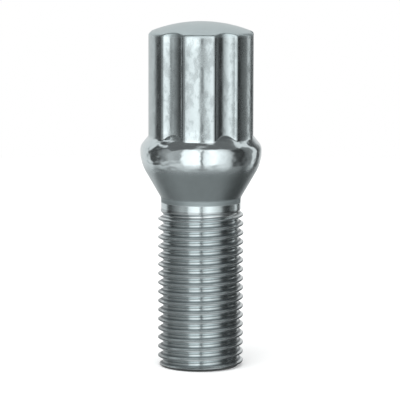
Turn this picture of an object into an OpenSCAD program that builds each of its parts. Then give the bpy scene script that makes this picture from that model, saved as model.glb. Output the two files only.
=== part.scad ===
// Wheel bolt with a fluted drive head, a conical seat and a metric thread.
// It is forged and rolled in one piece, and stands on its thread end with its axis along Z.
// Lengths are in millimetres and angles in degrees.

/* [Thread] */
// Nominal diameter of the thread
thread_d = 14; // [12:0.5:16]
// Length from the thread end to the small end of the seat
shank_length = 27.5; // [20:0.5:50]
// Length of the plain neck between the thread and the seat
neck_length = 1.8; // [1:0.1:8]
// Diameter of the neck, a little under the thread's pitch diameter
neck_d = 12.9; // [11:0.1:13.8]
// Chamfer of the thread end
end_chamfer = 0.5; // [0.3:0.1:1.5]

/* [Seat and collar] */
// Included angle of the conical seat
seat_angle = 60; // [50:5:90]
// Largest diameter of the collar
collar_d = 19.6; // [18.5:0.1:24]
// Height of the straight band round the collar
collar_band = 0.3; // [0.2:0.1:3]
// Rounding between the seat and the band
seat_round = 6.5; // [1:0.5:8]
// Rounding between the seat and the neck
seat_fillet = 1; // [0.2:0.1:2]
// Rounding between the band and the shoulder
shoulder_round = 1.7; // [0.5:0.1:2.4]
// Slope of the shoulder, measured from the axis
shoulder_angle = 39; // [30:1:48]

/* [Head] */
// Diameter over the lands
head_d = 17.35; // [16:0.05:17.5]
// Height of the lands from the shoulder to the rim
head_length = 16.9; // [10:0.1:25]
// Radius of the domed top
dome_radius = 22; // [14:0.5:40]
// Rounding of the rim
rim_round = 0.6; // [0.3:0.1:1.5]

/* [Flutes] */
// Number of flutes round the head
flute_count = 6; // [4:1:8]
// Radius of a flute's hollow
flute_radius = 3.4; // [2.5:0.1:4]
// Depth of a flute below the lands
flute_depth = 0.8; // [0.4:0.05:1.2]
// Width of the flat that breaks each edge of a flute
flute_edge = 0.35; // [0.2:0.05:0.5]

/* [Hidden] */
$fn = 96;
// Steps along each rounding of an outline
arc_steps = 8;
// How far a cutting tool reaches past what it cuts
overcut = 1;

// Shank: the thread runs out into the neck at 45 degrees
thread_r = thread_d / 2;
neck_r = neck_d / 2;
thread_top_z = shank_length - neck_length;
runout = thread_r - neck_r;

// Seat, band and shoulder, each rounding tangent to its neighbours
seat_half = seat_angle / 2;
collar_r = collar_d / 2;
fillet_centre = [neck_r + seat_fillet, shank_length - seat_fillet * tan(seat_half / 2)];
seat_top_r = collar_r - seat_round * (1 - cos(seat_half));
seat_top_z = shank_length + (seat_top_r - neck_r) / tan(seat_half);
band_z = seat_top_z + seat_round * sin(seat_half);
band_top_z = band_z + collar_band;
shoulder_r = collar_r - shoulder_round * (1 - cos(shoulder_angle));
shoulder_z = band_top_z + shoulder_round * sin(shoulder_angle);

// Head: the dome passes through the sharp rim, and the rounding touches dome and land
head_r = head_d / 2;
foot_z = shoulder_height(head_r);
rim_z = foot_z + head_length;
dome_centre = [0, rim_z - sqrt(pow(dome_radius, 2) - pow(head_r, 2))];
rim_centre_r = head_r - rim_round;
rim_drop = sqrt(pow(dome_radius - rim_round, 2) - pow(rim_centre_r, 2));
rim_centre = dome_centre + [rim_centre_r, rim_drop];
rim_angle = atan2(rim_drop, rim_centre_r);
apex_z = dome_centre[1] + dome_radius;

// Flutes: the hollow's axis, and where its wall meets the land, seen from the bolt and from that axis
flute_floor_r = head_r - flute_depth;
flute_axis_r = flute_floor_r + flute_radius;
mouth_cos = (pow(head_r, 2) + pow(flute_axis_r, 2) - pow(flute_radius, 2)) / (2 * head_r * flute_axis_r);
mouth_angle = acos(mouth_cos);
wall_angle = asin(head_r * sin(mouth_angle) / flute_radius);
// The flat across that edge runs from a point on the wall to a point on the land
edge_trim = flute_edge / 2 / cos((mouth_angle + wall_angle) / 2);
wall_point = on_arc([flute_axis_r, 0], flute_radius, 180 - wall_angle + turn(edge_trim, flute_radius));
land_point = on_arc([0, 0], head_r, mouth_angle + turn(edge_trim, head_r));
edge_slope = (land_point[0] - wall_point[0]) / (land_point[1] - wall_point[1]);
edge_start_r = wall_point[0] - edge_slope * wall_point[1];
edge_end_r = edge_start_r + edge_slope * flute_radius;

// Under the flutes the shoulder goes on inwards to this radius
core_r = flute_floor_r - overcut;

// Height of the shoulder's slope at a radius
function shoulder_height(r) = shoulder_z + (shoulder_r - r) / tan(shoulder_angle);

// Angle that a length takes up along an arc
function turn(length, r) = length / r * 180 / PI;

function on_arc(centre, r, angle) = centre + r * [cos(angle), sin(angle)];

// Points along an arc, without its first one
function arc(centre, r, from, to) =
    [for (i = [1 : arc_steps]) on_arc(centre, r, from + (to - from) * i / arc_steps)];

// Half section of the thread, the neck, the seat, the collar and the shoulder
module shank_outline() {
    polygon(concat(
        [
            [0, 0],
            [thread_r - end_chamfer, 0],
            [thread_r, end_chamfer],
            [thread_r, thread_top_z - runout],
            [neck_r, thread_top_z],
            [neck_r, fillet_centre[1]]
        ],
        arc(fillet_centre, seat_fillet, 180, 180 - seat_half),
        [[seat_top_r, seat_top_z]],
        arc([collar_r - seat_round, band_z], seat_round, -seat_half, 0),
        [[collar_r, band_top_z]],
        arc([collar_r - shoulder_round, band_top_z], shoulder_round, 0, shoulder_angle),
        [
            [core_r, shoulder_height(core_r)],
            [0, shoulder_height(core_r)]
        ]
    ));
}

// Half section of the head before its flutes, from inside the collar to the apex
module head_outline() {
    polygon(concat(
        [
            [0, band_top_z],
            [head_r, band_top_z],
            [head_r, rim_centre[1]]
        ],
        arc(rim_centre, rim_round, 0, rim_angle),
        arc(dome_centre, dome_radius, rim_angle, 90)
    ));
}

// Cross section of what one flute takes away: its hollow, and a flat-sided vee for its two edges
module flute_section() {
    translate([flute_axis_r, 0]) circle(r = flute_radius);
    polygon([
        [edge_start_r, 0],
        [edge_end_r, flute_radius],
        [flute_axis_r, flute_radius],
        [flute_axis_r, -flute_radius],
        [edge_end_r, -flute_radius]
    ]);
}

// Flutes run the head's full height, with a land in the middle of the front
module flutes() {
    spacing = 360 / flute_count;
    for (i = [0 : flute_count - 1])
        rotate([0, 0, -90 + spacing * (i + 0.5)])
            translate([0, 0, band_top_z - overcut])
                linear_extrude(apex_z - band_top_z + 2 * overcut)
                    flute_section();
}

module wheel_bolt() {
    color("silver") union() {
        rotate_extrude() shank_outline();
        difference() {
            rotate_extrude() head_outline();
            flutes();
        }
    }
}

wheel_bolt();
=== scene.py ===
from math import acos, atan2, cos, pi, radians, sin, sqrt, tan

import bmesh
import bpy
from mathutils import Matrix, Vector


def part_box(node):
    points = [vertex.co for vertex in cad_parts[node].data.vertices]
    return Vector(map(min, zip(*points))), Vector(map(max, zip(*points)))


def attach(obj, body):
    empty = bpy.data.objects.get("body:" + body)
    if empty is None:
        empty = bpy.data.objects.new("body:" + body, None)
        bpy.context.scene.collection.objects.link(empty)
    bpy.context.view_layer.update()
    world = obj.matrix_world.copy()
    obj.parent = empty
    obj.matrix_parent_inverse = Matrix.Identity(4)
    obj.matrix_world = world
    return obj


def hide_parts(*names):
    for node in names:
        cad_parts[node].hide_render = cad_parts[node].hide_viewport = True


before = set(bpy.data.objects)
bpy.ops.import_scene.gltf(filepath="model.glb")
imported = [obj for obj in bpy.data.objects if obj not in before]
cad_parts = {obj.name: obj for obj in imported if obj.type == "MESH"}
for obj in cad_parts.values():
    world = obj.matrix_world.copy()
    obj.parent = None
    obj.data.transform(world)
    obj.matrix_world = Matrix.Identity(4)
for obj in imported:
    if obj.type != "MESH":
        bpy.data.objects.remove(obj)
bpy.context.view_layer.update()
_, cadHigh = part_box("wheel_bolt")
mm = 0.001

# The bolt, in millimetres and degrees
bolt = {
    "threadD": 13.85,  # over the crests, as rolled
    "rootD": 12.16,
    "pitch": 1.5,
    "crestFlat": 0.19,
    "crestSoft": 0.07,  # how far the rounding of a crest reaches along the radius
    "rootSoft": 0.28,
    "helixStart": 0.53,  # where a crest starts, in pitches
    "endChamfer": 0.45,
    "chamferSoft": 0.04,
    "runout": 1.3,  # from the last full thread to the neck
    "shank": 27.5,  # from the thread end to the seat
    "neck": 1.65,  # height of the plain neck
    "neckD": 12.9,
    "seatAngle": 60,
    "seatFillet": 1.0,
    "collarD": 2 * cadHigh.x / mm,
    "collarBand": 0.3,
    "seatRound": 6.5,
    "shoulderRound": 1.7,
    "shoulderAngle": 39,
    "headD": 17.35,
    "headLength": 16.9,
    "footFillet": 0.45,
    "domeRadius": 22.0,
    "rimRound": 0.6,
    "fluteRimRound": 0.35,
    "flutes": 6,
    "fluteRadius": 3.4,
    "fluteDepth": 0.8,
    "fluteLip": 0.95,  # rounding between a flute and a land
    "joint": 0.15,  # height of the band that joins the head's mesh to the thread's
}

# How finely the bolt is divided
fineness = {
    "fluteSteps": 8,  # columns from the middle of a flute to its lip
    "lipSteps": 6,
    "landSteps": 6,  # from the lip to the middle of a land
    "dome": 18,
    "rim": 8,
    "side": 8,
    "foot": 6,
    "shoulder": 4,
    "round": 9,
    "seat": 8,
    "fillet": 4,
    "threadColumns": 120,
    "crest": 4,  # rows along the rounding of a crest's edge
    "flank": 3,
    "root": 5,
    "crestClear": 1.6,  # where a flank's rows start, as a share of the crest's rounding
    "rootClear": 1.3,
    "endRings": (0.985, 0.2),  # rings of the end face, each as a share of the one outside it
    "weld": 1e-3,  # points that lie closer than this, in millimetres, become one
    "cutSlack": 1e-4,  # points this close to a cut lie on it
}

camera = {
    "distance": 0.395,
    "turn": 2.3,  # degrees round the bolt, to the right
    "rise": 7.5,
    "roll": 0.15,
    "aim": (-0.00014, 0.0, 0.02706),
    "lens": 219.2,
    "sensor": 36.0,
    "nearest": 0.01,  # what is closer doesn't show
}


def smoothMin(a, b, soft):
    h = max(soft - abs(a - b), 0) / soft
    return min(a, b) - h * h * soft / 4


def smoothMax(a, b, soft):
    return -smoothMin(-a, -b, soft)


def blendTo(value, low, high):
    t = min(max((value - low) / (high - low), 0), 1)
    return t * t * (3 - 2 * t)


def onArc(centre, r, angle):
    return (centre[0] + r * cos(angle), centre[1] + r * sin(angle))


def arcPoints(centre, r, start, end, steps):
    return [onArc(centre, r, start + (end - start) * i / steps) for i in range(1, steps + 1)]


def spread(start, end, steps):
    return [start + (end - start) * i / steps for i in range(steps + 1)]


def linePoints(start, end, steps):
    return [
        (start[0] + (end[0] - start[0]) * i / steps, start[1] + (end[1] - start[1]) * i / steps)
        for i in range(1, steps + 1)
    ]


# Places that follow from the sizes above
headR = bolt["headD"] / 2
neckR = bolt["neckD"] / 2
collarR = bolt["collarD"] / 2
seatHalf = radians(bolt["seatAngle"] / 2)
shoulderTilt = radians(bolt["shoulderAngle"])
seatTopR = collarR - bolt["seatRound"] * (1 - cos(seatHalf))
seatTopZ = bolt["shank"] + (seatTopR - neckR) / tan(seatHalf)
bandZ = seatTopZ + bolt["seatRound"] * sin(seatHalf)
bandTopZ = bandZ + bolt["collarBand"]
shoulderR = collarR - bolt["shoulderRound"] * (1 - cos(shoulderTilt))
shoulderZ = bandTopZ + bolt["shoulderRound"] * sin(shoulderTilt)
threadTopZ = bolt["shank"] - bolt["neck"]
headEndZ = threadTopZ + bolt["joint"]
flankSlope = sqrt(3)  # of a 60 degree thread: how far it goes out for each millimetre up


def shoulderHeight(r):
    return shoulderZ + (shoulderR - r) / tan(shoulderTilt)


footZ = shoulderHeight(headR)
rimZ = footZ + bolt["headLength"]
domeCentre = (0, rimZ - sqrt(bolt["domeRadius"] ** 2 - headR**2))

# A flute seen from above: its hollow, then a lip that is tangent to the hollow and to the land
fluteFloorR = headR - bolt["fluteDepth"]
fluteAxisR = fluteFloorR + bolt["fluteRadius"]
lipCentreR = headR - bolt["fluteLip"]
lipReach = bolt["fluteRadius"] + bolt["fluteLip"]
lipEnd = acos((lipCentreR**2 + fluteAxisR**2 - lipReach**2) / (2 * lipCentreR * fluteAxisR))
lipShare = bolt["fluteRadius"] / lipReach
lipStart = atan2(
    lipCentreR * sin(lipEnd) * lipShare,
    fluteAxisR + (lipCentreR * cos(lipEnd) - fluteAxisR) * lipShare,
)
sector = 2 * pi / bolt["flutes"]


def headRadius(fromFlute):
    # Radius of the fluted head at an angle from the middle of a flute
    if fromFlute < lipStart:
        offset = fluteAxisR * sin(fromFlute)
        return fluteAxisR * cos(fromFlute) - sqrt(bolt["fluteRadius"] ** 2 - offset**2)
    if fromFlute < lipEnd:
        turn = fromFlute - lipEnd
        return lipCentreR * cos(turn) + sqrt(bolt["fluteLip"] ** 2 - (lipCentreR * sin(turn)) ** 2)
    return headR


halfColumns = fineness["fluteSteps"] + fineness["lipSteps"] + fineness["landSteps"]
columns = 2 * halfColumns * bolt["flutes"]


def fluteAngle(step):
    # Angle from the middle of a flute after some columns, which lie closer together on the lip
    lipColumn = fineness["fluteSteps"]
    landColumn = lipColumn + fineness["lipSteps"]
    if step <= lipColumn:
        return lipStart * step / lipColumn
    if step <= landColumn:
        return lipStart + (lipEnd - lipStart) * (step - lipColumn) / fineness["lipSteps"]
    return lipEnd + (sector / 2 - lipEnd) * (step - landColumn) / fineness["landSteps"]


def columnPlace(column):
    # Angle of a column on the head, and how far that is from the nearest flute
    nearest = round(column / (2 * halfColumns))
    step = column - nearest * 2 * halfColumns
    fromFlute = fluteAngle(abs(step))
    return nearest * sector + (fromFlute if step > 0 else -fromFlute), fromFlute


def headOutline(r):
    # Half section from the apex to the neck, where the head has radius r
    land = blendTo(r, fluteFloorR, headR)
    rim = bolt["fluteRimRound"] + (bolt["rimRound"] - bolt["fluteRimRound"]) * land
    drop = sqrt((bolt["domeRadius"] - rim) ** 2 - (r - rim) ** 2)
    rimCentre = (r - rim, domeCentre[1] + drop)
    rimAngle = atan2(drop, r - rim)
    shoulderCentre = (collarR - bolt["shoulderRound"], bandTopZ)
    seatCentre = (collarR - bolt["seatRound"], bandZ)
    foot = bolt["footFillet"]
    footCentre = (r + foot, shoulderHeight(r) + foot * tan(shoulderTilt / 2))
    footEnd = onArc(footCentre, foot, pi + shoulderTilt)
    fillet = bolt["seatFillet"]
    filletCentre = (neckR + fillet, bolt["shank"] - fillet * tan(seatHalf / 2))
    filletStart = onArc(filletCentre, fillet, pi - seatHalf)
    points = [(0, domeCentre[1] + bolt["domeRadius"])]
    points += arcPoints(domeCentre, bolt["domeRadius"], pi / 2, rimAngle, fineness["dome"])
    points += arcPoints(rimCentre, rim, rimAngle, 0, fineness["rim"])
    points += linePoints(points[-1], (r, footCentre[1]), fineness["side"])
    points += arcPoints(footCentre, foot, pi, pi + shoulderTilt, fineness["foot"])
    points += linePoints(footEnd, (shoulderR, shoulderZ), fineness["shoulder"])
    points += arcPoints(shoulderCentre, bolt["shoulderRound"], shoulderTilt, 0, fineness["round"])
    points += [(collarR, bandZ)]
    points += arcPoints(seatCentre, bolt["seatRound"], 0, -seatHalf, fineness["round"])
    points += linePoints((seatTopR, seatTopZ), filletStart, fineness["seat"])
    points += arcPoints(filletCentre, fillet, pi - seatHalf, pi, fineness["fillet"])
    points += linePoints(points[-1], (neckR, headEndZ), fineness["fillet"])
    return points


def wholeOf(bm):
    return bm.verts[:] + bm.edges[:] + bm.faces[:]


def addHead(bm):
    # One half section is spun round the axis, then each column takes the section of its own angle
    rowLayer = bm.verts.layers.int.new("row")
    line = []
    for row, (r, z) in enumerate(headOutline(headR)):
        vert = bm.verts.new((r, 0, z))
        vert[rowLayer] = row
        line.append(vert)
    edges = [bm.edges.new(pair) for pair in zip(line, line[1:])]
    bmesh.ops.spin(
        bm, geom=line + edges, cent=(0, 0, 0), axis=(0, 0, 1), dvec=(0, 0, 0),
        angle=2 * pi, steps=columns, use_merge=True, use_duplicate=False,
    )
    outlines = {}
    for vert in bm.verts:
        column = round(atan2(vert.co.y, vert.co.x) / (2 * pi) * columns)
        angle, fromFlute = columnPlace(column)
        key = round(fromFlute, 6)
        if key not in outlines:
            outlines[key] = headOutline(headRadius(fromFlute))
        r, z = outlines[key][vert[rowLayer]]
        even = 2 * pi * column / columns
        angle += (even - angle) * (1 - blendTo(z, bolt["shank"], bandTopZ))  # even again at the neck
        vert.co = (r * cos(angle), r * sin(angle), z)
    bmesh.ops.remove_doubles(bm, verts=bm.verts, dist=fineness["weld"])


def threadRadius(z, away):
    # Radius of the thread at a height, and at a distance along the axis from the nearest crest
    crestR = bolt["threadD"] / 2
    r = smoothMin(crestR, crestR - flankSlope * (away - bolt["crestFlat"] / 2), bolt["crestSoft"])
    r = smoothMax(r, bolt["rootD"] / 2, bolt["rootSoft"])
    r = neckR + (r - neckR) * blendTo(threadTopZ - z, 0, bolt["runout"])
    return smoothMin(r, crestR - bolt["endChamfer"] + z, bolt["chamferSoft"])


def threadRows():
    # Distances from one crest to the next at which the rows of the thread lie, closer where it bends
    crestEdge = bolt["crestFlat"] / 2
    rootEdge = crestEdge + (bolt["threadD"] - bolt["rootD"]) / 2 / flankSlope
    crestReach = bolt["crestSoft"] / flankSlope
    rootReach = bolt["rootSoft"] / flankSlope
    flankStart = crestEdge + fineness["crestClear"] * crestReach
    flankEnd = rootEdge - fineness["rootClear"] * rootReach
    rows = [0] + spread(crestEdge - crestReach, crestEdge + crestReach, fineness["crest"])
    rows += spread(flankStart, flankEnd, fineness["flank"] - 1)
    rows += spread(rootEdge - rootReach, rootEdge + rootReach, fineness["root"])
    return rows + [bolt["pitch"] / 2] + [bolt["pitch"] - away for away in reversed(rows)]


def addThread(bm):
    # One turn of a helical strip is spun upwards, repeated, cut off level at both ends and shaped
    pitch = bolt["pitch"]
    firstZ = (bolt["helixStart"] - 2) * pitch
    line = [bm.verts.new((bolt["rootD"] / 2, 0, firstZ + away)) for away in threadRows()]
    edges = [bm.edges.new(pair) for pair in zip(line, line[1:])]
    steps = fineness["threadColumns"]
    bmesh.ops.spin(
        bm, geom=line + edges, cent=(0, 0, 0), axis=(0, 0, 1), dvec=(0, 0, pitch / steps),
        angle=2 * pi, steps=steps, use_merge=False, use_duplicate=False,
    )
    oneTurn = wholeOf(bm)
    copies = int(threadTopZ / pitch) + 2  # enough to pass both ends
    for number in range(1, copies + 1):
        copy = bmesh.ops.duplicate(bm, geom=oneTurn)["geom"]
        verts = [part for part in copy if isinstance(part, bmesh.types.BMVert)]
        bmesh.ops.translate(bm, verts=verts, vec=(0, 0, number * pitch))
    bmesh.ops.remove_doubles(bm, verts=bm.verts, dist=fineness["weld"])
    for height, side in ((0, -1), (threadTopZ, 1)):
        bmesh.ops.bisect_plane(
            bm, geom=wholeOf(bm), dist=fineness["cutSlack"], plane_co=(0, 0, height),
            plane_no=(0, 0, side), clear_outer=True,
        )
    for vert in bm.verts:
        angle = atan2(vert.co.y, vert.co.x)
        share = (vert.co.z / pitch - angle / (2 * pi) - bolt["helixStart"]) % 1
        r = threadRadius(vert.co.z, min(share, 1 - share) * pitch)
        vert.co = (r * cos(angle), r * sin(angle), vert.co.z)


def levelRing(bm, z):
    # The open edges at one height
    return [
        edge for edge in bm.edges
        if edge.is_boundary and max(abs(vert.co.z - z) for vert in edge.verts) < fineness["weld"]
    ]


def addEndFace(bm):
    # The flat end: rings are drawn in from the lowest one, and the last is closed
    ring = levelRing(bm, 0)
    for scale in fineness["endRings"]:
        made = bmesh.ops.extrude_edge_only(bm, edges=ring)["geom"]
        verts = [part for part in made if isinstance(part, bmesh.types.BMVert)]
        ring = [part for part in made if isinstance(part, bmesh.types.BMEdge)]
        bmesh.ops.scale(bm, vec=(scale, scale, 1), verts=verts)
    bmesh.ops.holes_fill(bm, edges=ring, sides=0)


def addObject(name, data):
    piece = bpy.data.objects.new(name, data)
    bpy.context.scene.collection.objects.link(piece)
    return piece


def makeBolt(plated, rolled):
    head = bmesh.new()
    addHead(head)
    thread = bmesh.new()
    addThread(thread)
    addEndFace(thread)
    headMesh = bpy.data.meshes.new("boltHead")
    head.to_mesh(headMesh)
    thread.from_mesh(headMesh)
    bpy.data.meshes.remove(headMesh)
    head.free()
    bmesh.ops.bridge_loops(thread, edges=levelRing(thread, threadTopZ) + levelRing(thread, headEndZ))
    bmesh.ops.recalc_face_normals(thread, faces=thread.faces)
    bmesh.ops.scale(thread, vec=(mm, mm, mm), verts=thread.verts)
    for face in thread.faces:
        face.smooth = True
        face.material_index = 1 if face.calc_center_median().z < threadTopZ * mm else 0
    openEdges = [edge for edge in thread.edges if not edge.is_manifold]
    print("bolt: open edges", len(openEdges), "volume mm3", thread.calc_volume() / mm**3)
    mesh = bpy.data.meshes.new("forgedBolt")
    thread.to_mesh(mesh)
    thread.free()
    mesh.materials.append(plated)
    mesh.materials.append(rolled)
    piece = addObject("forgedBolt", mesh)
    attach(piece, "root")
    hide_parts("wheel_bolt")
    print("bolt: faces", len(mesh.polygons))


class Wire:
    # A socket that takes part in sums
    def __init__(self, socket):
        self.socket = socket

    def __add__(self, other):
        return calculate("ADD", self, other)

    def __radd__(self, other):
        return calculate("ADD", other, self)

    def __sub__(self, other):
        return calculate("SUBTRACT", self, other)

    def __rsub__(self, other):
        return calculate("SUBTRACT", other, self)

    def __mul__(self, other):
        return calculate("MULTIPLY", self, other)

    def __rmul__(self, other):
        return calculate("MULTIPLY", other, self)

    def __truediv__(self, other):
        return calculate("DIVIDE", self, other)

    def __pow__(self, other):
        return calculate("POWER", self, other)

    def most(self, other):
        return calculate("MAXIMUM", self, other)

    def step(self, low, high, before=0.0, after=1.0):
        # Goes softly from one value to another between two places
        node = self.socket.id_data.nodes.new("ShaderNodeMapRange")
        node.interpolation_type = "SMOOTHSTEP"
        sockets = {"Value": self, "From Min": low, "From Max": high, "To Min": before, "To Max": after}
        for name, value in sockets.items():
            plug(node.inputs[name], value)
        return Wire(node.outputs[0])


def calculate(operation, *values):
    # A Math node, in the node tree that the first wire among the values comes from
    wire = next(value for value in values if isinstance(value, Wire))
    node = wire.socket.id_data.nodes.new("ShaderNodeMath")
    node.operation = operation
    for place, value in enumerate(values):
        plug(node.inputs[place], value)
    return Wire(node.outputs[0])


def plug(socket, value):
    if isinstance(value, Wire):
        socket.id_data.links.new(value.socket, socket)
    else:
        socket.default_value = value


class Finish:
    # A material, its shader and its nodes
    def __init__(self, name, shader="ShaderNodeBsdfPrincipled"):
        self.material = bpy.data.materials.new(name)
        self.material.use_nodes = True
        self.tree = self.material.node_tree
        self.tree.nodes.clear()
        self.shader = self.tree.nodes.new(shader)
        out = self.tree.nodes.new("ShaderNodeOutputMaterial")
        self.tree.links.new(self.shader.outputs[0], out.inputs["Surface"])

    def node(self, kind, settings=None, sockets=None, out=0):
        node = self.tree.nodes.new(kind)
        for name, value in (settings or {}).items():
            setattr(node, name, value)
        for name, value in (sockets or {}).items():
            plug(node.inputs[name], value)
        return Wire(node.outputs[out])

    def places(self):
        # Where a point of the bolt is: the point itself and its x, y and z, in millimetres
        point = self.node("ShaderNodeTexCoord", out="Object")
        point = self.node("ShaderNodeVectorMath", {"operation": "SCALE"}, {0: point, "Scale": 1 / mm})
        axes = [self.node("ShaderNodeSeparateXYZ", sockets={0: point}, out=name) for name in "XYZ"]
        return point, *axes

    def squeeze(self, point, share):
        # A noise at this point has lumps that are this many times flatter along the bolt
        return self.node("ShaderNodeVectorMath", {"operation": "MULTIPLY"}, {0: point, 1: (1, 1, share)})

    def noise(self, point, size, detail, rough=0.5):
        # Noise whose lumps are about this many millimetres long
        return self.node("ShaderNodeTexNoise", sockets={
            "Vector": point, "Scale": 1 / size, "Detail": detail, "Roughness": rough,
        })

    def mix(self, share, first, second):
        return self.node("ShaderNodeMix", {"data_type": "RGBA"}, {0: share, 6: first, 7: second}, out=2)

    def tint(self, colour, amount):
        return self.node("ShaderNodeVectorMath", {"operation": "SCALE"}, {0: colour, "Scale": amount})

    def bump(self, height, distance, normal=None):
        sockets = {"Height": height, "Distance": distance, "Strength": 1.0}
        if normal:
            sockets["Normal"] = normal
        return self.node("ShaderNodeBump", sockets=sockets)


# The plated steel above the thread, from the dome down, in millimetres. A noise has the size of its
# lumps, its detail and its roughness, and a tone is how much something changes the brightness.
plating = {
    "dome": (0.455, 0.53, 0.542, 1),
    "land": (0.41, 0.465, 0.475, 1),
    "collar": (0.54, 0.605, 0.62, 1),
    "seat": (0.345, 0.40, 0.41, 1),
    "neck": (0.49, 0.56, 0.57, 1),
    "domeRoughness": 0.34,
    "landRoughness": 0.22,
    "collarRoughness": 0.15,
    "seatRoughness": 0.31,
    "neckRoughness": 0.2,
    "domeEdge": (-0.6, -0.1),  # between these two heights from the sharp rim the dome starts
    "landFoot": (-0.2, 0.8),  # from the foot of the lands
    "seatTop": (2.2, -0.1),  # from the top of the seat
    "neckTop": (-0.6, -0.8),  # from the small end of the seat
    "tone": 1.1,
    "wideNoise": (3.0, 2.0),
    "wideTone": 0.12,
    "mediumNoise": (0.9, 3.0, 0.55),
    "mediumTone": 0.14,
    "mediumRoughness": 0.06,
    "speckNoise": (0.45, 2.0, 0.6),
    "speckLevels": (0.66, 0.74),  # between these two levels of the noise a speck starts
    "speckTone": 0.12,
    "grainNoise": (0.22, 2.0, 0.6),
    "patchNoise": (1.3, 3.0, 0.6),  # dull patches on the lands
    "patchSqueeze": 0.6,
    "patchLevels": (0.42, 0.62),
    "patchSide": (-7.6, -6.8, 0.3, 1.0),  # between these two places in x they grow to their full tone
    "patchTone": 0.22,
    "patchRoughness": 0.12,
    "endHighlightTone": 0.25,  # painted highlight: brighter at both ends of the lands, left of the middle
    "highlightTop": (-3.0, -1.0),
    "highlightFoot": (2.6, 1.0),
    "highlightRight": (0.4, -0.4),
    "highlightLeft": (-7.3, -5.0),
    "dullTop": (0.3, 0.1),  # dull band where the seat runs into the neck
    "dullFoot": (-0.75, -0.6),
    "dullTone": 0.1,
    "dullRoughness": 0.3,
    "highlightLineFoot": (-0.2, -0.1),  # painted highlight: a light line across that band, where a small edge would catch the light
    "highlightLineTop": (0.1, 0.0),
    "highlightLineTone": 0.12,
    "waves": 0.03,  # height of the forged waves on the head
    "dentNoise": (2.0, 1.0),
    "dentSqueeze": 1.8,
    "dentSide": (-2.5, -5.5, 0.4, 1.0),
    "dents": 0.22,  # depth of the dents in the collar
    "pitLevels": (0.6, 0.75),
    "pits": 0.003,
    "grain": 0.0008,
    "leastRoughness": 0.05,
}


def platedSteel():
    finish = Finish("platedSteel")
    point, x, _, z = finish.places()

    def rise(height, edges):
        # Goes from 0 to 1 between two heights, which are given from this one
        return z.step(height + edges[0], height + edges[1])

    domeShare = rise(rimZ, plating["domeEdge"])
    landShare = rise(footZ, plating["landFoot"]) - domeShare
    neckShare = rise(bolt["shank"], plating["neckTop"])
    seatShare = rise(seatTopZ, plating["seatTop"]) - neckShare
    collarShare = 1.0 - domeShare - landShare - seatShare - neckShare

    wide = finish.noise(point, *plating["wideNoise"])
    medium = finish.noise(point, *plating["mediumNoise"])
    specks = finish.noise(point, *plating["speckNoise"])
    grain = finish.noise(point, *plating["grainNoise"])
    patches = finish.noise(finish.squeeze(point, plating["patchSqueeze"]), *plating["patchNoise"])
    dents = finish.noise(finish.squeeze(point, plating["dentSqueeze"]), *plating["dentNoise"])

    colour = finish.mix(domeShare, plating["collar"], plating["dome"])
    colour = finish.mix(landShare, colour, plating["land"])
    colour = finish.mix(seatShare, colour, plating["seat"])
    colour = finish.mix(neckShare, colour, plating["neck"])
    blotches = patches.step(*plating["patchLevels"]) * x.step(*plating["patchSide"])
    shade = plating["tone"] - blotches * landShare * plating["patchTone"]
    shade = shade + (wide - 0.5) * plating["wideTone"] + (medium - 0.5) * plating["mediumTone"]
    shade = shade - specks.step(*plating["speckLevels"]) * landShare * plating["speckTone"]
    # Painted highlight: the lands are lighter near their top and foot, left of the middle
    ends = rise(rimZ, plating["highlightTop"]) + rise(footZ, plating["highlightFoot"])
    ends = ends * x.step(*plating["highlightRight"]) * x.step(*plating["highlightLeft"])
    shade = shade + ends * landShare * plating["endHighlightTone"]
    dull = rise(bolt["shank"], plating["dullTop"]) * rise(bolt["shank"], plating["dullFoot"])
    # Painted highlight: a light line across the dull band
    edgeHighlight = rise(bolt["shank"], plating["highlightLineFoot"]) * rise(bolt["shank"], plating["highlightLineTop"])
    shade = shade - dull * plating["dullTone"] + edgeHighlight * plating["highlightLineTone"]
    plug(finish.shader.inputs["Base Color"], finish.tint(colour, shade))
    finish.shader.inputs["Metallic"].default_value = 1

    roughness = domeShare * plating["domeRoughness"] + landShare * plating["landRoughness"]
    roughness = roughness + collarShare * plating["collarRoughness"]
    roughness = roughness + seatShare * plating["seatRoughness"] + neckShare * plating["neckRoughness"]
    roughness = roughness + (blotches - 0.5) * landShare * plating["patchRoughness"]
    roughness = roughness + (medium - 0.5) * plating["mediumRoughness"] + dull * plating["dullRoughness"]
    plug(finish.shader.inputs["Roughness"], roughness.most(plating["leastRoughness"]))

    pits = specks.step(*plating["pitLevels"]) * -1.0 * (landShare + collarShare)
    dented = x.step(*plating["dentSide"]) * collarShare
    normal = finish.bump(wide * landShare, plating["waves"] * mm)
    normal = finish.bump(dents * dented, plating["dents"] * mm, normal)
    normal = finish.bump(pits, plating["pits"] * mm, normal)
    normal = finish.bump(grain, plating["grain"] * mm, normal)
    plug(finish.shader.inputs["Normal"], normal)
    print("finish: plated steel,", len(finish.tree.nodes), "nodes")
    return finish.material


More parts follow.
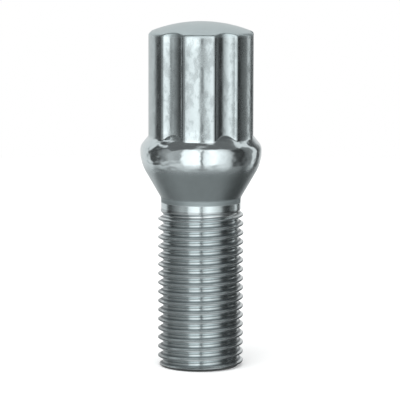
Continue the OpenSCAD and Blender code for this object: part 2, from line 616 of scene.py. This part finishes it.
# The rolled thread, with fine lines that run round it, in millimetres
rolling = {
    "flank": (0.755, 0.81, 0.82, 1),
    "crest": (0.35, 0.39, 0.40, 1),  # the rolls rub it dull
    "runout": (0.385, 0.43, 0.44, 1),
    # painted shade: the root of the groove is darker than the flanks
    "root": (0.46, 0.51, 0.52, 1),
    "upper": (0.65, 0.695, 0.705, 1),  # painted shade: the side of the groove that faces up is darker
    "line": (0.25, 0.28, 0.29, 1),  # painted shade: a dark line on that side of the groove
    "crestEdge": (6.8, 6.9),  # between these two radii the crest starts
    "rootEdge": (6.3, 6.15),
    "upperEnd": (0.85, 0.75),  # this and the next two are heights above the middle of the crest
    "shadeLineStart": (0.27, 0.36),
    "shadeLineEnd": (0.58, 0.49),
    "roughness": 0.17,
    "crestRoughness": 0.3,
    "lineRoughness": 0.2,  # added to the others, like the next
    "mediumRoughness": 0.1,
    "mediumNoise": (0.9, 3.0, 0.55),
    "mediumTone": 0.2,
    "grainNoise": (0.22, 2.0, 0.6),
    "grain": 0.003,
    "ringNoise": (1.1, 3.0, 0.6),
    "ringSqueeze": 9,
    "ringTone": 0.16,
    "rings": 0.002,
}


def rolledSteel():
    finish = Finish("rolledSteel")
    point, x, y, z = finish.places()
    r = (x * x + y * y) ** 0.5
    medium = finish.noise(point, *rolling["mediumNoise"])
    grain = finish.noise(point, *rolling["grainNoise"])
    rings = finish.noise(finish.squeeze(point, rolling["ringSqueeze"]), *rolling["ringNoise"])

    # How far a point lies above the crest that is next below it
    above = z / bolt["pitch"] - calculate("ARCTAN2", y, x) / (2 * pi) - bolt["helixStart"]
    above = calculate("FRACT", above) * bolt["pitch"]
    full = z.step(threadTopZ, threadTopZ - bolt["runout"])
    crestShare = r.step(*rolling["crestEdge"]) * full
    rootShadeShare = r.step(*rolling["rootEdge"]) * full
    upperShadeShare = above.step(*rolling["upperEnd"]) * r.step(*reversed(rolling["rootEdge"])) * full
    shadeLineShare = above.step(*rolling["shadeLineStart"]) * above.step(*rolling["shadeLineEnd"]) * full
    colour = finish.mix(full, rolling["runout"], rolling["flank"])
    # Painted shade in the root of the groove
    colour = finish.mix(rootShadeShare, colour, rolling["root"])
    # Painted shade on the side of the groove that faces up
    colour = finish.mix(upperShadeShare, colour, rolling["upper"])
    # Painted shade: a dark line on the side of the groove that faces up
    colour = finish.mix(shadeLineShare, colour, rolling["line"])
    colour = finish.mix(crestShare, colour, rolling["crest"])
    shade = 1.0 + (medium - 0.5) * rolling["mediumTone"] + (rings - 0.5) * rolling["ringTone"]
    plug(finish.shader.inputs["Base Color"], finish.tint(colour, shade))
    finish.shader.inputs["Metallic"].default_value = 1

    roughness = crestShare * (rolling["crestRoughness"] - rolling["roughness"]) + rolling["roughness"]
    roughness = roughness + shadeLineShare * rolling["lineRoughness"]
    roughness = roughness + (medium - 0.5) * rolling["mediumRoughness"]
    plug(finish.shader.inputs["Roughness"], roughness)

    normal = finish.bump(grain, rolling["grain"] * mm)
    normal = finish.bump(rings, rolling["rings"] * mm, normal)
    plug(finish.shader.inputs["Normal"], normal)
    print("finish: rolled steel,", len(finish.tree.nodes), "nodes")
    return finish.material


makeBolt(platedSteel(), rolledSteel())


def fromCamera(angle):
    # Direction on the floor at an angle to the right of the camera, seen from the bolt
    turn = radians(camera["turn"] + angle)
    return Vector((sin(turn), -cos(turn), 0))


def makeCamera():
    data = bpy.data.cameras.new("photoCamera")
    data.lens = camera["lens"]
    data.sensor_width = camera["sensor"]
    data.clip_start = camera["nearest"]
    piece = addObject("photoCamera", data)
    rise = radians(camera["rise"])
    back = fromCamera(0) * cos(rise) + Vector((0, 0, sin(rise)))
    piece.location = Vector(camera["aim"]) + back * camera["distance"]
    turn = back.to_track_quat("Z", "Y").to_matrix() @ Matrix.Rotation(radians(camera["roll"]), 3, "Z")
    piece.rotation_euler = turn.to_euler()
    bpy.context.scene.camera = piece
    print("camera: lens", data.lens)


makeCamera()


def card(angles, levels, low, heights=(-0.2, -0.27, -0.8), top=0.8):
    # A card has its first and last angle to the right of the camera, how bright it is at either,
    # how bright it is low down and near the ground, the height below which it is low, the two
    # between which it changes to its brightness near the ground, and its top
    return {"angles": angles, "levels": levels, "low": low, "heights": heights, "top": top}


# Soft boxes, grey walls and black flags stand round the bolt and show in the metal alone
studio = {
    "reach": 0.6,
    "bottom": -0.95,
    "lowFade": 0.2,  # length over which a card changes to its low brightness
    "turnStep": 3,  # degrees from one column of a card to the next
    "discSides": 48,
    "cards": {
        "leftBox": card((-37, -2.5), (1.45, 1.9), (1.25, 0.37)),
        "cameraGap": card((-2.5, 6), (0.28, 0.28), (0.35, 0.35)),
        "rightBox": card((6, 24), (1.3, 1.75), (1.2, 0.37)),
        "rightFall": card((24, 60), (1.75, 0.68), (0.9, 0.37)),
        "rightShade": card((60, 69), (0.6, 0.1), (0.5, 0.37), top=0.55),
        "rightFlag": card((69, 92), (0.08, 0.05), (0.4, 0.3), top=0.55),
        "rightWall": card((92, 116), (0.13, 0.33), (0.15, 0.1), top=0.55),
        "rightStrip": card((116, 129), (0.95, 0.95), (0.5, 0.3), (-0.15, -0.27, -0.8), 0.5),
        "rightEdge": card((129, 142), (0.09, 0.09), (0.1, 0.1), top=0.55),
        "backRise": card((142, 160), (0.15, 0.8), (0.5, 0.5), (-0.3, -0.3, -0.8)),
        "backWall": card((160, 240), (0.8, 0.9), (0.85, 0.8), (-0.3, -0.3, -0.8)),
        "leftFall": card((-120, -109), (0.9, 0.08), (0.7, 0.4), (-0.12, -0.25, -0.5), 0.6),
        "leftFlag": card((-109, -96), (0.07, 0.1), (0.7, 0.37), (-0.12, -0.25, -0.5), 0.6),
        "leftShade": card((-96, -60), (0.1, 0.5), (0.85, 0.37), (-0.12, -0.25, -0.52), 0.6),
        "leftWall": card((-60, -37), (0.65, 0.4), (0.95, 0.37), (-0.15, -0.27, -0.7)),
    },
    "under": 0.37,
    "nearReach": 0.025,
    "nearBottom": -0.006,
    "nearCards": {  # beside the thread
        "nearRight": card((92, 130), (0.08, 0.09), (0.09, 0.09), (-0.1, -0.2, -0.3), 0.019),
        "nearLeft": card((-165, -112), (0.5, 0.45), (0.45, 0.45), (-0.1, -0.2, -0.3), 0.019),
        "nearShade": card((-112, -42), (0.2, 0.5), (0.3, 0.3), (-0.1, -0.2, -0.3), 0.019),
    },
    "contact": 0.08,  # painted shadow: a dark disc where the bolt stands, shown in the metal alone
    "contactReach": 0.0085,
    "contactHeight": -0.0004,
    "ceiling": 0.18,
    "ceilingHeight": 0.45,
    "ceilingStart": -0.08,  # from the bolt towards the camera
    "ceilingEnd": 0.2,
    "ceilingTurn": 10,
}


def linkStage(name, bm, material):
    mesh = bpy.data.meshes.new(name)
    bm.to_mesh(mesh)
    bm.free()
    mesh.materials.append(material)
    piece = addObject(name, mesh)
    return piece


def showInMetalAlone(piece):
    piece.visible_camera = False
    piece.visible_diffuse = False
    piece.visible_transmission = False
    piece.visible_shadow = False
    piece.data.materials[0].cycles.emission_sampling = "NONE"


def glow(name, level):
    finish = Finish(name, "ShaderNodeEmission")
    finish.shader.inputs["Color"].default_value = (1, 1, 1, 1)
    plug(finish.shader.inputs["Strength"], level(finish) if callable(level) else level)
    return finish.material


def makeCard(name, values, reach, bottom):
    first, last = values["angles"]
    firstLevel, lastLevel = values["levels"]
    lowLevel, groundLevel = values["low"]
    lowStart, groundStart, groundEnd = values["heights"]
    bm = bmesh.new()
    start = fromCamera(first) * reach
    ends = [bm.verts.new(start + Vector((0, 0, z))) for z in (bottom, values["top"])]
    edge = bm.edges.new(ends)
    bmesh.ops.spin(
        bm, geom=ends + [edge], cent=(0, 0, 0), axis=(0, 0, 1), dvec=(0, 0, 0),
        angle=radians(last - first), steps=max(2, round((last - first) / studio["turnStep"])),
        use_merge=False, use_duplicate=False,
    )
    across = fromCamera((first + last) / 2 + 90)

    def level(finish):
        # Brightness changes evenly from one end of the card to the other, and in two steps downwards
        point = finish.node("ShaderNodeTexCoord", out="Object")
        sockets = {0: point, 1: tuple(across)}
        side = finish.node("ShaderNodeVectorMath", {"operation": "DOT_PRODUCT"}, sockets, out="Value")
        height = finish.node("ShaderNodeSeparateXYZ", sockets={0: point}, out="Z")
        share = side / (2 * reach * sin(radians(last - first) / 2)) + 0.5
        low = height.step(groundEnd, groundStart, groundLevel, lowLevel)
        upper = share * (lastLevel - firstLevel) + firstLevel - low
        return upper * height.step(lowStart - studio["lowFade"], lowStart) + low

    showInMetalAlone(linkStage(name, bm, glow(name, level)))


def makeDisc(name, level, reach, height, cuts=()):
    # Each cut leaves the disc's part that lies within some distance in one direction
    bm = bmesh.new()
    bmesh.ops.create_circle(bm, cap_ends=True, segments=studio["discSides"], radius=reach)
    bmesh.ops.translate(bm, vec=(0, 0, height), verts=bm.verts)
    for away, turn in cuts:
        bmesh.ops.bisect_plane(
            bm, geom=wholeOf(bm), plane_co=fromCamera(0) * away, plane_no=fromCamera(turn),
            clear_outer=True,
        )
    showInMetalAlone(linkStage(name, bm, glow(name, level)))


def makeStudio():
    for name, values in studio["cards"].items():
        makeCard(name, values, studio["reach"], studio["bottom"])
    for name, values in studio["nearCards"].items():
        makeCard(name, values, studio["nearReach"], studio["nearBottom"])
    makeDisc("underCard", studio["under"], studio["reach"], studio["bottom"])
    # Painted shadow under the bolt, shown in the metal alone
    makeDisc("contactShadowCard", studio["contact"], studio["contactReach"], studio["contactHeight"])
    cuts = ((studio["ceilingStart"], 180), (studio["ceilingEnd"], studio["ceilingTurn"]))
    makeDisc("ceilingFlag", studio["ceiling"], studio["reach"], studio["ceilingHeight"], cuts)
    print("studio:", len(studio["cards"]) + len(studio["nearCards"]) + 3, "cards")


makeStudio()

light = {
    "world": 0.8,  # as plain surfaces see it
    "lampPower": 4.0,
    "lampSize": 0.7,
    "lampPlace": (-0.12, -0.35, 0.95),
    "floor": (0.93, 0.94, 0.94, 1),
    "floorLift": 0.2,  # for the camera alone, so that the floor reaches white
    "floorReach": 0.3,
    "floorSides": 96,
    "floorHeight": -0.00002,  # just clear of the bolt's end
}


def makeWorld():
    world = bpy.data.worlds.new("studio")
    bpy.context.scene.world = world
    world.use_nodes = True
    tree = world.node_tree
    background = tree.nodes["Background"]
    background.inputs["Color"].default_value = (1, 1, 1, 1)
    paths = tree.nodes.new("ShaderNodeLightPath")
    seen = Wire(paths.outputs["Is Camera Ray"]).most(Wire(paths.outputs["Is Glossy Ray"]))
    seen = seen.most(Wire(paths.outputs["Is Transmission Ray"]))
    plug(background.inputs["Strength"], seen * (1 - light["world"]) + light["world"])


def makeLamp():
    data = bpy.data.lights.new("softLamp", "AREA")
    data.shape = "DISK"
    data.size = light["lampSize"]
    data.energy = light["lampPower"]
    piece = addObject("softLamp", data)
    piece.location = light["lampPlace"]
    piece.rotation_euler = Vector(light["lampPlace"]).to_track_quat("Z", "Y").to_euler()
    piece.visible_camera = False
    piece.visible_glossy = False  # the boxes show in the metal instead


def makeFloor():
    finish = Finish("paperFloor", "ShaderNodeAddShader")
    paper = finish.node("ShaderNodeBsdfDiffuse", sockets={"Color": light["floor"]})
    seen = finish.node("ShaderNodeLightPath", out="Is Camera Ray")
    lift = finish.node("ShaderNodeEmission", sockets={"Strength": seen * light["floorLift"]})
    plug(finish.shader.inputs[0], paper)
    plug(finish.shader.inputs[1], lift)
    bm = bmesh.new()
    bmesh.ops.create_circle(
        bm, cap_ends=True, segments=light["floorSides"], radius=light["floorReach"],
    )
    bmesh.ops.translate(bm, vec=(0, 0, light["floorHeight"]), verts=bm.verts)
    piece = linkStage("floor", bm, finish.material)
    piece.visible_glossy = False  # the metal shows the cards, which reach below the floor


makeWorld()
makeLamp()
makeFloor()
bpy.context.scene.view_settings.view_transform = "Standard"
